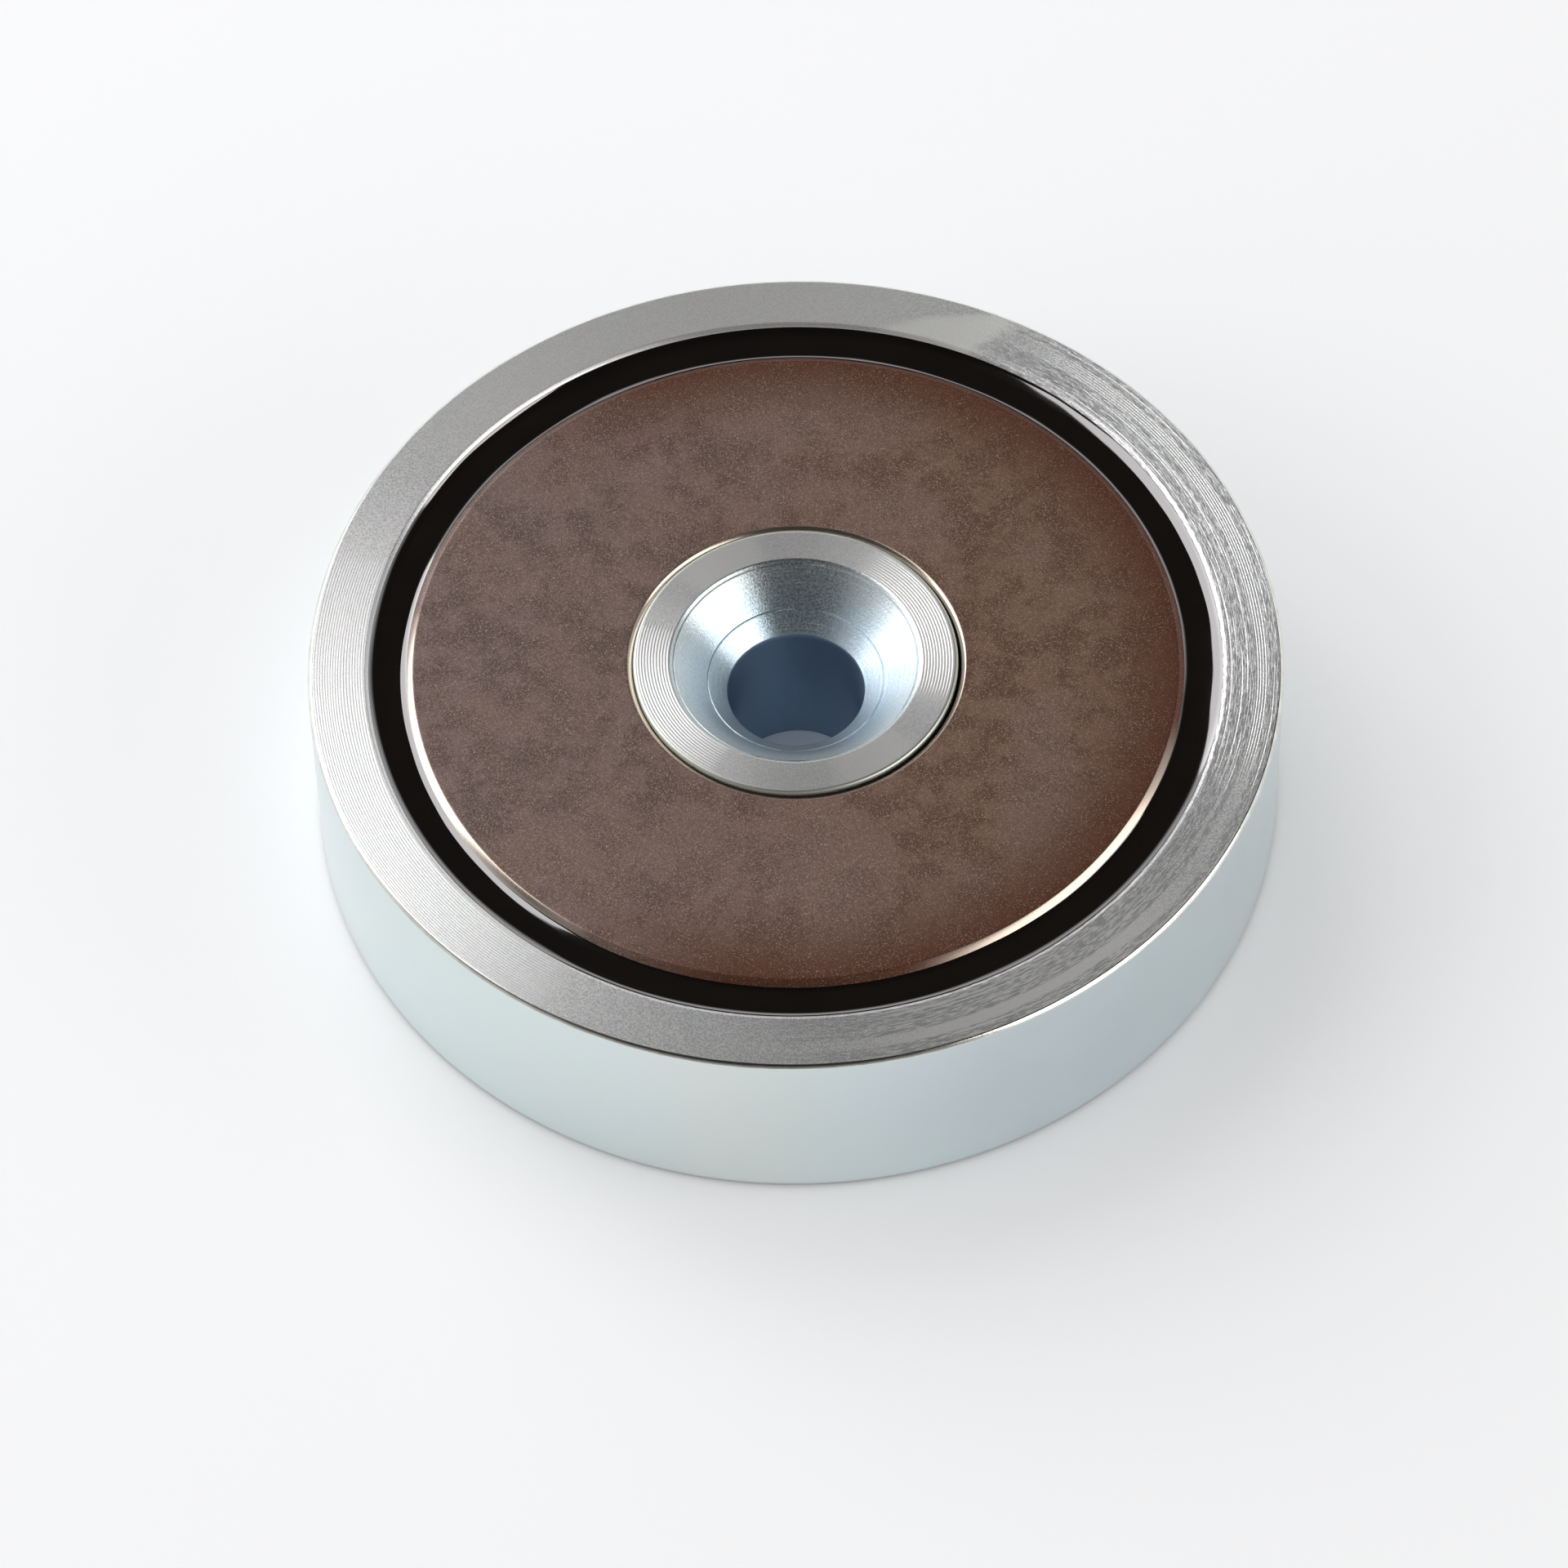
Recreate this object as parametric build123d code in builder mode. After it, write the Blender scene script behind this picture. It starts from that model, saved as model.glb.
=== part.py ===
"""Countersunk pot magnet: a turned steel pot, a ring magnet and the resin that holds it.

Millimetres. The origin is the centre of the back face, and +Z points out of the holding face.
"""

import math
import os

from build123d import *

# ---- Steel pot ----
outer_diameter = 40.0
height = 8.8
rim_width = 2.5
floor_thickness = 3.3
boss_diameter = 13.3
edge_break = 0.13  # rounding left on every turned outside edge
pocket_corner_radius = 0.2  # nose radius of the turning tool

# ---- Hole for a countersunk M5 screw ----
screw_hole_diameter = 5.7
countersink_diameter = 10.3
countersink_angle = 90.0

# ---- Ring magnet ----
potting_width = 1.5  # groove between the magnet and the outer wall
boss_clearance = 0.1  # radial gap between the boss and the magnet
glue_film = 0.1
magnet_recess = 0.1  # how far the magnet lies below the rim
magnet_edge_radius = 0.3

# ---- Potting resin ----
magnet_wetting_angle = 55.0  # how far down the magnet's rounded edge the resin starts
rim_wetting_drop = 0.13  # from the rim down to the resin's outer edge
meniscus_depth = 0.35  # sag of the resin's surface between its two edges

# ---- Derived sizes ----
outer_radius = outer_diameter / 2
pocket_radius = outer_radius - rim_width
boss_radius = boss_diameter / 2

magnet_outer_radius = pocket_radius - potting_width
magnet_bore_radius = boss_radius + boss_clearance
magnet_bottom = floor_thickness + glue_film
magnet_top = height - magnet_recess

wetting_angle = math.radians(magnet_wetting_angle)
resin_inner_edge = (
    magnet_outer_radius - magnet_edge_radius * (1 - math.sin(wetting_angle)),
    magnet_top - magnet_edge_radius * (1 - math.cos(wetting_angle)),
)
resin_outer_edge = (pocket_radius, height - rim_wetting_drop)
film_inner_radius = magnet_bore_radius + magnet_edge_radius


# ---- Steel pot: cup and boss in one turned piece ----
with BuildPart() as steel_pot:
    with BuildSketch(Plane.XZ):
        with BuildLine():
            Polyline(
                (0, 0),
                (outer_radius, 0),
                (outer_radius, height),
                (pocket_radius, height),
                (pocket_radius, floor_thickness),
                (boss_radius, floor_thickness),
                (boss_radius, height),
                (0, height),
                close=True,
            )
        make_face()
    revolve(axis=Axis.Z)

    circles = steel_pot.edges().filter_by(GeomType.CIRCLE)
    pocket_corners = circles.filter_by_position(Axis.Z, floor_thickness, floor_thickness)
    fillet(pocket_corners, radius=pocket_corner_radius)

    with Locations((0, 0, height)):
        CounterSinkHole(
            radius=screw_hole_diameter / 2,
            counter_sink_radius=countersink_diameter / 2,
            counter_sink_angle=countersink_angle,
        )

    circles = steel_pot.edges().filter_by(GeomType.CIRCLE)
    holding_face_edges = circles.filter_by_position(Axis.Z, height, height)
    back_face_edges = circles.filter_by_position(Axis.Z, 0, 0)
    fillet(holding_face_edges + back_face_edges, radius=edge_break)

steel_pot.part.label = "steel_pot"


# ---- Ring magnet: a pressed ring, tumbled to rounded edges ----
with BuildPart() as ring_magnet:
    with BuildSketch(Plane.XY.offset(magnet_bottom)):
        Circle(magnet_outer_radius)
        Circle(magnet_bore_radius, mode=Mode.SUBTRACT)
    extrude(amount=magnet_top - magnet_bottom)
    fillet(ring_magnet.edges().filter_by(GeomType.CIRCLE), radius=magnet_edge_radius)

ring_magnet.part.label = "ring_magnet"


# ---- Potting resin: the ring in the groove and the film under the magnet, cast as one ----
with BuildPart() as potting_resin:
    with BuildSketch(Plane.XZ):
        with BuildLine():
            Polyline(
                resin_inner_edge,
                (film_inner_radius, magnet_bottom),
                (film_inner_radius, floor_thickness),
                (pocket_radius, floor_thickness),
                resin_outer_edge,
            )
            SagittaArc(resin_outer_edge, resin_inner_edge, meniscus_depth)
        make_face()
    revolve(axis=Axis.Z)
    add(ring_magnet.part, mode=Mode.SUBTRACT)
    add(steel_pot.part, mode=Mode.SUBTRACT)

potting_resin.part.label = "potting_resin"


# ---- Export ----
os.makedirs("parts", exist_ok=True)
export_step(steel_pot.part, "parts/steel_pot.step")
export_step(ring_magnet.part, "parts/ring_magnet.step")
export_step(potting_resin.part, "parts/potting_resin.step")
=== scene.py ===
# %% [markdown]
# # A pot magnet on a white table
# A pot magnet is a turned steel cup with a boss in the middle, a ring magnet in the
# groove between them, and black resin that holds the magnet in. The boss has a
# countersunk hole for a screw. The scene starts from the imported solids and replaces
# each with a finer piece of the same size, so edges, tool marks and resin can be shown.

import math

import bmesh
import bpy
from mathutils import Matrix, Vector, noise


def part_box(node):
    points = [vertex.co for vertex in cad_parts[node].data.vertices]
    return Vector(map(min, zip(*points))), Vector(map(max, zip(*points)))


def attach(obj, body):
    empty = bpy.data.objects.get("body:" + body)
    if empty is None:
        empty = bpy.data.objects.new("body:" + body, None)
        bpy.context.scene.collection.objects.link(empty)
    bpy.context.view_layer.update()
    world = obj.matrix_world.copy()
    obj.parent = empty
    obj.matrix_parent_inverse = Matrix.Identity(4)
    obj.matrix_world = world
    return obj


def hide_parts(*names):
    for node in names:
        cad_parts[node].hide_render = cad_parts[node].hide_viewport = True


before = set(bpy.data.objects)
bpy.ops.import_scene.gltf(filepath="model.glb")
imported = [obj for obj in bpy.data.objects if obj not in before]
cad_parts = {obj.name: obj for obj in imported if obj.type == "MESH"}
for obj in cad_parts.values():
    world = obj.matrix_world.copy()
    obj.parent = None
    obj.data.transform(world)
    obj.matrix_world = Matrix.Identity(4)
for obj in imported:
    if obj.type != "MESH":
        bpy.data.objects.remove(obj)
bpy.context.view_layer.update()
MM = 0.001


def short(point, digits=5):
    """The numbers of a point, rounded so that they print on one short line."""
    return tuple(round(c, digits) for c in point)


print("solids:", sorted(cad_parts))

# %% [markdown]
# ## Where the camera looks
# It stands a third of a metre away and looks down at about 54 degrees. It first looks
# straight at the middle of the holding face, then turns by the small angle that puts
# that middle at its own pixel, and rolls by about one degree. It could be aimed with a
# constraint, but rotations written out leave nothing to be solved.

# %% Where the camera looks
PICTURE = 1920.0
FOCAL_PIXELS = 9820.48
camera_distance = 328.71 * MM
camera_elevation = math.radians(53.7927)
camera_roll = math.radians(1.2334)
middle_pixel = (973.95, 807.59)
_, pot_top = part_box("steel_pot")
face_middle = Vector((0.0, 0.0, pot_top.z))

back_from_face = Vector((0.0, -math.cos(camera_elevation), math.sin(camera_elevation)))
right = Vector((1.0, 0.0, 0.0))
up = right.cross(-back_from_face)
across = (middle_pixel[0] - PICTURE / 2) / FOCAL_PIXELS
above = (PICTURE / 2 - middle_pixel[1]) / FOCAL_PIXELS
ray_to_middle = Vector((across, above, 1.0))
turn_to_pixel = Vector((0.0, 0.0, 1.0)).rotation_difference(ray_to_middle).to_matrix()
roll = Matrix.Rotation(camera_roll, 3, "Z")
axes = turn_to_pixel @ roll @ Matrix((right, up, -back_from_face))
print("the middle of the face is at", short(face_middle), "and seen along", short(axes[2]))

# %% [markdown]
# ## The camera and its lens
# Small parts are shown with a long lens from some way off, so that round things stay
# round. The picture is square, so the focal length in pixels and the width of the
# sensor give the lens. Standard colours keep each tone as it is written.

# %% The camera and its lens
lens = bpy.data.cameras.new("camera")
lens.sensor_width = 36.0
lens.lens = lens.sensor_width * FOCAL_PIXELS / PICTURE
lens.clip_start = 0.01
lens.clip_end = 20.0
camera = bpy.data.objects.new("camera", lens)
bpy.context.scene.collection.objects.link(camera)
turned = Matrix((axes[0], axes[1], -axes[2])).transposed().to_4x4()
camera.matrix_world = Matrix.Translation(face_middle + back_from_face * camera_distance) @ turned
bpy.context.scene.camera = camera
bpy.context.scene.view_settings.view_transform = "Standard"
print("camera at", short(camera.matrix_world.translation, 4), "lens", round(lens.lens, 1), "mm")

# %% [markdown]
# ## Spinning an outline
# Everything here was made on a lathe or poured into something that was, so one helper
# spins a closed outline of (radius, height) corners all the way round. The last copy is
# merged with the first, doubles are merged, and the faces are turned outwards.

# %% Spin an outline
TURNS = 640
SAME_POINT = 0.0001 * MM


def spin_round(form, outline_parts):
    """Spin these vertices and edges into a whole ring with its faces outwards."""
    bmesh.ops.spin(
        form,
        geom=outline_parts,
        cent=(0.0, 0.0, 0.0),
        axis=(0.0, 0.0, 1.0),
        angle=2.0 * math.pi,
        steps=TURNS,
        use_merge=True,
    )
    bmesh.ops.remove_doubles(form, verts=form.verts[:], dist=SAME_POINT)
    bmesh.ops.recalc_face_normals(form, faces=form.faces[:])


def spin_outline(outline):
    """A closed ring from (radius, height) corners in mm, spun round the Z axis."""
    form = bmesh.new()
    corners = [form.verts.new((r * MM, 0.0, z * MM)) for r, z in outline]
    sides = [form.edges.new(pair) for pair in zip(corners, corners[1:] + corners[:1])]
    spin_round(form, corners + sides)
    return form


# %% [markdown]
# ## Rounding an edge
# No edge on a turned part is knife sharp, and the narrow band where it was broken is
# what catches the light. A bevel modifier would give all edges one size. Here each
# circular edge is found by its radius and height, and gets a size of its own, either
# round or as a cut at 45 degrees.

# %% Round an edge
NEAR = 0.004


def radius_of(point):
    """Distance from the Z axis, in mm."""
    return math.hypot(point.x, point.y) / MM


def on_circle(point, radius, height):
    """True where a point lies on this circle, in mm."""
    return abs(radius_of(point) - radius) < NEAR and abs(point.z / MM - height) < NEAR


def round_corner(form, radius, height, size, segments=5):
    """Round the circular edge at this radius and height, all in mm."""
    circle = [e for e in form.edges if all(on_circle(v.co, radius, height) for v in e.verts)]
    bmesh.ops.bevel(
        form,
        geom=circle,
        offset=size * MM,
        offset_type="OFFSET",
        segments=segments,
        profile=0.5,
        affect="EDGES",
        material=-1,
    )
    return len(circle)


def break_corner(form, radius, height, size):
    """Cut a circular edge at 45 degrees and soften the two corners that are left, in mm."""
    soft = 0.03
    broken = round_corner(form, radius, height, size, segments=1)
    for r, z in ((radius - size, height), (radius + size, height)):
        round_corner(form, r, z, soft, segments=2)
    for z in (height - size, height + size):
        round_corner(form, radius, z, soft, segments=2)
    return broken


# %% [markdown]
# ## Finishing a piece
# Each piece becomes one object that stands for one imported solid: it rides on the only
# body, hides its solid and takes its materials. Faces are shaded smooth, and only
# edges steeper than the rounded ones stay sharp.

# %% Finish a piece
SHARP_ANGLE = math.radians(26.0)


def finish_piece(form, name, node, materials):
    """Make the object, smooth it, and let it stand for its CAD node."""
    mesh = bpy.data.meshes.new(name)
    form.to_mesh(mesh)
    form.free()
    for material in materials:
        mesh.materials.append(material)
    mesh.shade_smooth()
    mesh.set_sharp_from_angle(angle=SHARP_ANGLE)
    piece = bpy.data.objects.new(name, mesh)
    bpy.context.scene.collection.objects.link(piece)
    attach(piece, "root")
    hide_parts(node)
    mesh.calc_loop_triangles()
    print(name, "has", len(mesh.loop_triangles), "triangles")


# %% [markdown]
# ## Adding nodes
# A material is a small network of nodes. In the editor one drags wires. In a script a
# helper adds a node and fills its sockets, either with a plain value or with a wire
# from another node. The other helpers stand for the nodes used most.

# %% Add nodes
def fill_socket(tree, socket, value):
    """Give a socket a plain value, or wire it to another node's output."""
    if isinstance(value, bpy.types.NodeSocket):
        tree.links.new(value, socket)
    else:
        socket.default_value = value


def add_node(tree, kind, inputs=None, **settings):
    """Add one node; inputs maps a socket name or number to a value or to an output."""
    node = tree.nodes.new(kind)
    for name, value in settings.items():
        setattr(node, name, value)
    for name, value in (inputs or {}).items():
        fill_socket(tree, node.inputs[name], value)
    return node


def calc(tree, operation, first, second=0.0, third=0.0, clamp=False):
    """One Math node, as its output."""
    inputs = {0: first, 1: second, 2: third}
    node = add_node(tree, "ShaderNodeMath", inputs, operation=operation, use_clamp=clamp)
    return node.outputs[0]


def product(tree, first, *others):
    """Masks and numbers multiplied together, as the output."""
    for other in others:
        first = calc(tree, "MULTIPLY", first, other)
    return first


def between(tree, value, low, high, smooth=True):
    """0 below low, 1 above high, and a soft step from one to the other."""
    kind = "SMOOTHSTEP" if smooth else "LINEAR"
    inputs = {"Value": value, "From Min": low, "From Max": high}
    return add_node(tree, "ShaderNodeMapRange", inputs, interpolation_type=kind).outputs["Result"]


def vector_calc(tree, operation, inputs):
    """One Vector Math node, as its outputs."""
    return add_node(tree, "ShaderNodeVectorMath", inputs, operation=operation).outputs


# %% [markdown]
# ## Mixing colours
# A finish is a plain colour with others laid over it: grain, wear, grime. Each layer is
# one Mix node with a mask as its amount. A ramp goes through several colours in turn,
# which suits a colour that changes with depth.

# %% Mix colours
MIX_AMOUNT, MIX_FIRST, MIX_SECOND, MIX_RESULT = 0, 6, 7, 2


def mix_colours(tree, amount, first, second, blend="MIX"):
    """Mix two colours, as the output."""
    inputs = {MIX_AMOUNT: amount, MIX_FIRST: first, MIX_SECOND: second}
    mix = add_node(tree, "ShaderNodeMix", inputs, data_type="RGBA", blend_type=blend)
    return mix.outputs[MIX_RESULT]


def colour_ramp(tree, value, first, middle, last):
    """A ramp through (position, colour) stops, as its colour."""
    ramp = add_node(tree, "ShaderNodeValToRGB", {"Fac": value})
    stops = ramp.color_ramp.elements
    stops[0].position, stops[0].color = first
    stops[1].position, stops[1].color = last
    for position, colour in middle:
        stop = stops.new(position)
        stop.color = colour
    return ramp.outputs["Color"]


# %% [markdown]
# ## Groups of nodes
# An effect that several finishes share is built once, as a group with named sockets,
# and is then placed in each material with its own values. Copying the nodes would work
# too, but then a change would have to be made in every copy.

# %% Make and place groups
def new_group(name, inputs, outputs):
    """A node group with these named value inputs and outputs, and its two end nodes."""
    group = bpy.data.node_groups.new(name, "ShaderNodeTree")
    for label, value in inputs.items():
        socket = group.interface.new_socket(label, in_out="INPUT", socket_type="NodeSocketFloat")
        socket.default_value = value
    for label, kind in outputs.items():
        group.interface.new_socket(label, in_out="OUTPUT", socket_type=kind)
    start = group.nodes.new("NodeGroupInput")
    end = group.nodes.new("NodeGroupOutput")
    return group, start, end


def place_group(tree, group, **values):
    """Use a group in a material with its own values."""
    node = tree.nodes.new("ShaderNodeGroup")
    node.node_tree = group
    for label, value in values.items():
        fill_socket(tree, node.inputs[label], value)
    return node.outputs


# %% [markdown]
# ## Where a point lies on a turned piece
# Tool marks follow the lathe, so patterns need the radius and the height of a point in
# millimetres, and which way it faces round the axis. The direction is a unit arrow and
# not an angle, because an angle jumps where it starts again and would leave a seam.

# %% The group that tells radius, height and direction
lathe_place, _, place_end = new_group(
    "lathe place",
    {},
    {"Radius": "NodeSocketFloat", "Height": "NodeSocketFloat", "Direction": "NodeSocketVector"},
)
object_place = add_node(lathe_place, "ShaderNodeTexCoord").outputs["Object"]
in_mm = vector_calc(lathe_place, "SCALE", {0: object_place, "Scale": 1.0 / MM})["Vector"]
flat_only = vector_calc(lathe_place, "MULTIPLY", {0: in_mm, 1: (1.0, 1.0, 0.0)})["Vector"]
split = add_node(lathe_place, "ShaderNodeSeparateXYZ", {0: in_mm})
length = vector_calc(lathe_place, "LENGTH", {0: flat_only})["Value"]
unit = vector_calc(lathe_place, "NORMALIZE", {0: flat_only})["Vector"]
lathe_place.links.new(length, place_end.inputs["Radius"])
lathe_place.links.new(split.outputs["Z"], place_end.inputs["Height"])
lathe_place.links.new(unit, place_end.inputs["Direction"])
print(lathe_place.name, "has", len(lathe_place.nodes), "nodes")

# %% [markdown]
# ## Turning marks, and the noise they need
# A lathe tool leaves a fine spiral. Geometry could show it, but the marks are thinner
# than a hair and torn all over, so a bump is the right size of tool. Metal tears along
# the turn, so the noise has to be long round the axis and narrow across: it is read at
# a point that goes slowly round and quickly across. All lengths are in millimetres.

# %% The turning marks group and its noise
turning_marks, marks_in, marks_end = new_group(
    "turning marks",
    {
        "Along": 0.0,
        "Around": 19.0,
        "Pitch": 0.13,
        "Short": 0.22,
        "Depth": 0.011,
        "Broken": 0.0,
        "Tear": 0.006,
        "Grain": 0.0015,
        "Main Band": 19.1,
    },
    {"Bump": "NodeSocketFloat", "Flecks": "NodeSocketFloat", "Bands": "NodeSocketFloat"},
)
given = marks_in.outputs
place = place_group(turning_marks, lathe_place)


def marks_calc(operation, first, second=0.0, third=0.0):
    """One Math node in the turning marks."""
    return calc(turning_marks, operation, first, second, third)


def stretched_noise(length, width, detail):
    """Noise with grains of this length round the axis and this width across, in mm."""
    times = marks_calc("DIVIDE", given["Around"], length)
    around = vector_calc(turning_marks, "SCALE", {0: place["Direction"], "Scale": times})
    lines = {"Z": marks_calc("DIVIDE", given["Along"], width)}
    narrow = add_node(turning_marks, "ShaderNodeCombineXYZ", lines)
    where = vector_calc(turning_marks, "ADD", {0: around["Vector"], 1: narrow.outputs[0]})
    inputs = {"Vector": where["Vector"], "Scale": 1.0, "Detail": detail, "Roughness": 0.6}
    return add_node(turning_marks, "ShaderNodeTexNoise", inputs).outputs["Fac"]


# %% [markdown]
# ## The saw-tooth of the turning marks
# From each turn to the next the metal has one long side that falls outwards and one
# short steep side that faces the axis, where it tore. The tooth is made from the
# fraction of a turn, and a slow noise lets the lines wander a little, because rings of
# even spacing would look printed.

# %% The saw-tooth
wander = stretched_noise(9.0, 1.5, 1.0)
turn_number = marks_calc("DIVIDE", given["Along"], given["Pitch"])
step = marks_calc("FRACT", marks_calc("MULTIPLY_ADD", wander, 1.6, turn_number))
long_side = marks_calc("SUBTRACT", 1.0, given["Short"])
falling = marks_calc("DIVIDE", marks_calc("SUBTRACT", 1.0, step), long_side)
rising = marks_calc("DIVIDE", step, given["Short"])
tooth = marks_calc("MINIMUM", rising, falling)

# %% [markdown]
# ## Bands, and what is torn away
# Some bands of the face are cut clean. Between them the marks are broken off in places
# and pitted. The main band lies at one radius, and others are found by a noise that is
# nearly even round the axis. Masks are enough for this: they scale the tooth.

# %% Clean bands and broken marks
pits = stretched_noise(0.30, 0.11, 1.0)
from_main = marks_calc("SUBTRACT", given["Along"], given["Main Band"])
main_band = between(turning_marks, marks_calc("ABSOLUTE", from_main), 0.30, 0.18)
other_bands = between(turning_marks, stretched_noise(9.0, 0.14, 1.0), 0.56, 0.62)
bands = marks_calc("MAXIMUM", main_band, other_bands)
outside = marks_calc("SUBTRACT", 1.0, bands)
gone = marks_calc("MULTIPLY_ADD", between(turning_marks, pits, 0.60, 0.45), 0.35, 0.6)
lost = marks_calc("MULTIPLY", outside, gone)
kept = marks_calc("SUBTRACT", 1.0, marks_calc("MULTIPLY", lost, given["Broken"]))
saw = marks_calc("MULTIPLY", tooth, marks_calc("MULTIPLY", given["Depth"], kept))

# %% [markdown]
# ## Flecks and fine grain
# Last come small torn flecks along the turn, and a fine even grain that plating adds to
# any surface. The group gives out the height for a bump, and the flecks and bands as
# masks, so that a finish can also colour them.

# %% Flecks, grain and the group's outputs
FINE_GRAIN = 0.075
flecks = stretched_noise(0.45, 0.055, 2.0)
tear = marks_calc("MULTIPLY", given["Tear"], outside)
torn = marks_calc("MULTIPLY_ADD", flecks, tear, saw)
grain_place = add_node(turning_marks, "ShaderNodeTexCoord").outputs["Object"]
grain_inputs = {"Vector": grain_place, "Scale": 1.0 / (FINE_GRAIN * MM), "Detail": 1.0}
fine_grain = add_node(turning_marks, "ShaderNodeTexNoise", grain_inputs).outputs["Fac"]
height = marks_calc("MULTIPLY_ADD", fine_grain, given["Grain"], torn)
turning_marks.links.new(height, marks_end.inputs["Bump"])
turning_marks.links.new(flecks, marks_end.inputs["Flecks"])
turning_marks.links.new(bands, marks_end.inputs["Bands"])
print(turning_marks.name, "has", len(turning_marks.nodes), "nodes")

# %% [markdown]
# ## Grain
# Zinc and nickel plating are never quite even. One group gives a fine speckle and slow
# clouds, in millimetres, and each finish uses them with its own sizes.

# %% The plating grain group
plating_grain, grain_in, grain_end = new_group(
    "plating grain",
    {"Speck": 0.09, "Cloud": 3.0},
    {"Specks": "NodeSocketFloat", "Clouds": "NodeSocketFloat", "Tint": "NodeSocketColor"},
)
object_place = add_node(plating_grain, "ShaderNodeTexCoord").outputs["Object"]


def sized_noise(size, detail, roughness):
    """Noise whose grains have the size that this input of the group gives."""
    scale = calc(plating_grain, "DIVIDE", 1.0 / MM, grain_in.outputs[size])
    inputs = {"Vector": object_place, "Scale": scale, "Detail": detail, "Roughness": roughness}
    return add_node(plating_grain, "ShaderNodeTexNoise", inputs).outputs


specks = sized_noise("Speck", 3.0, 0.8)
clouds = sized_noise("Cloud", 4.0, 0.62)
plating_grain.links.new(specks["Fac"], grain_end.inputs["Specks"])
plating_grain.links.new(clouds["Fac"], grain_end.inputs["Clouds"])
plating_grain.links.new(clouds["Color"], grain_end.inputs["Tint"])
print(plating_grain.name, "has", len(plating_grain.nodes), "nodes")

# %% [markdown]
# ## Starting a finish
# Every finish on the part begins the same way: one shader, to which colour and height
# are then added. The height of fine marks goes into a bump, in millimetres, because
# moving real points for them would take millions of faces.

# %% A material with its shader
def new_finish(name, roughness, metallic=1.0):
    """A material with one Principled shader, as (material, tree, shader)."""
    finish = bpy.data.materials.new(name)
    finish.use_nodes = True
    tree = finish.node_tree
    shader = next(n for n in tree.nodes if n.type == "BSDF_PRINCIPLED")
    shader.inputs["Metallic"].default_value = metallic
    shader.inputs["Roughness"].default_value = roughness
    return finish, tree, shader


def add_bump(tree, shader, height):
    """Height in mm makes the bump."""
    inputs = {"Height": height, "Distance": MM, "Strength": 1.0}
    bump = add_node(tree, "ShaderNodeBump", inputs)
    tree.links.new(bump.outputs["Normal"], shader.inputs["Normal"])


def say_made(finish):
    """Print how many nodes a finish took."""
    print(finish.name, "has", len(finish.node_tree.nodes), "nodes")


# %% [markdown]
# ## One side of the axis
# Wear is never the same all round: a part is picked up at one place and rubbed at
# another. This mask is 1 on one side of the axis and falls off round it. It compares
# two arrows and not two angles, so it has no seam. Zero degrees is at the right and 270
# at the front.

# %% A mask for one side
def facing(tree, place, azimuth, first, full):
    """0 to 1 as the direction from the axis turns from first to full degrees off azimuth."""
    towards = (math.cos(math.radians(azimuth)), math.sin(math.radians(azimuth)), 0.0)
    alike = vector_calc(tree, "DOT_PRODUCT", {0: place["Direction"], 1: towards})["Value"]
    return between(tree, alike, math.cos(math.radians(first)), math.cos(math.radians(full)))


# %% [markdown]
# ## Zinc on the outer wall
# The wall is smooth bright zinc with a thin blue passivation. It has no tool marks that
# the eye can find, only a satin skin and very faint blue, pink and yellow clouds. Its
# right front is painted a little darker, which is painted shade. Its bottom edge, where it
# stands on the table, is painted dark in a thin line: painted shade where the pot meets it.

# %% Wall zinc
COOL_ZINC = (0.71, 0.78, 0.782, 1.0)
CONTACT_SHADE = (0.20, 0.21, 0.21, 1.0)
# azimuth, where the patch starts, where it is full, strength, colour
WALL_TINTS_AND_SHADE = (
    (261.0, 12.0, 3.0, 0.2, (0.78, 0.77, 0.71, 1.0)),
    (292.0, 26.0, 8.0, 0.35, (0.66, 0.74, 0.79, 1.0)),
    (222.0, 22.0, 6.0, 0.25, (0.68, 0.80, 0.78, 1.0)),
    # The last patch is painted shade, not a tint: it darkens the wall at the right front.
    (325.0, 48.0, 26.0, 0.6, (0.60, 0.67, 0.70, 1.0)),
)
wall_zinc, tree, shader = new_finish("zinc_wall", 0.25)
place = place_group(tree, lathe_place)
grain = place_group(tree, plating_grain, Speck=0.1, Cloud=5.0)
tinted = mix_colours(tree, 0.12, COOL_ZINC, grain["Tint"], "OVERLAY")
for azimuth, first, full, strength, colour in WALL_TINTS_AND_SHADE:
    side = facing(tree, place, azimuth, first, full)
    patch = product(tree, side, grain["Clouds"], 2.0 * strength)
    tinted = mix_colours(tree, patch, tinted, colour)
# Painted shade: the wall is darkened in a thin line just above where it meets the table.
contact_shade = product(tree, between(tree, place["Height"], 0.26, 0.10), 0.75)
tinted = mix_colours(tree, contact_shade, tinted, CONTACT_SHADE)
tree.links.new(tinted, shader.inputs["Base Color"])
add_bump(tree, shader, product(tree, grain["Specks"], 0.002))
say_made(wall_zinc)

# %% [markdown]
# ## Marks on the turned faces
# The rim and the boss were faced with a pointed tool, and the zinc follows its marks.
# The marks show best on the left and on the right, and the right side is also torn.
# Grooves scatter light across themselves far more than along themselves, so besides the
# bump the shader's gloss is stretched across the turn.

# %% Marks on a turned face
def stretch_gloss(tree, shader, amount):
    """Stretch the gloss across the turn."""
    quarter_turn = 0.25
    shader.inputs["Anisotropic"].default_value = amount
    shader.inputs["Anisotropic Rotation"].default_value = quarter_turn
    around_axis = add_node(tree, "ShaderNodeTangent", direction_type="RADIAL", axis="Z")
    tree.links.new(around_axis.outputs["Tangent"], shader.inputs["Tangent"])


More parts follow.
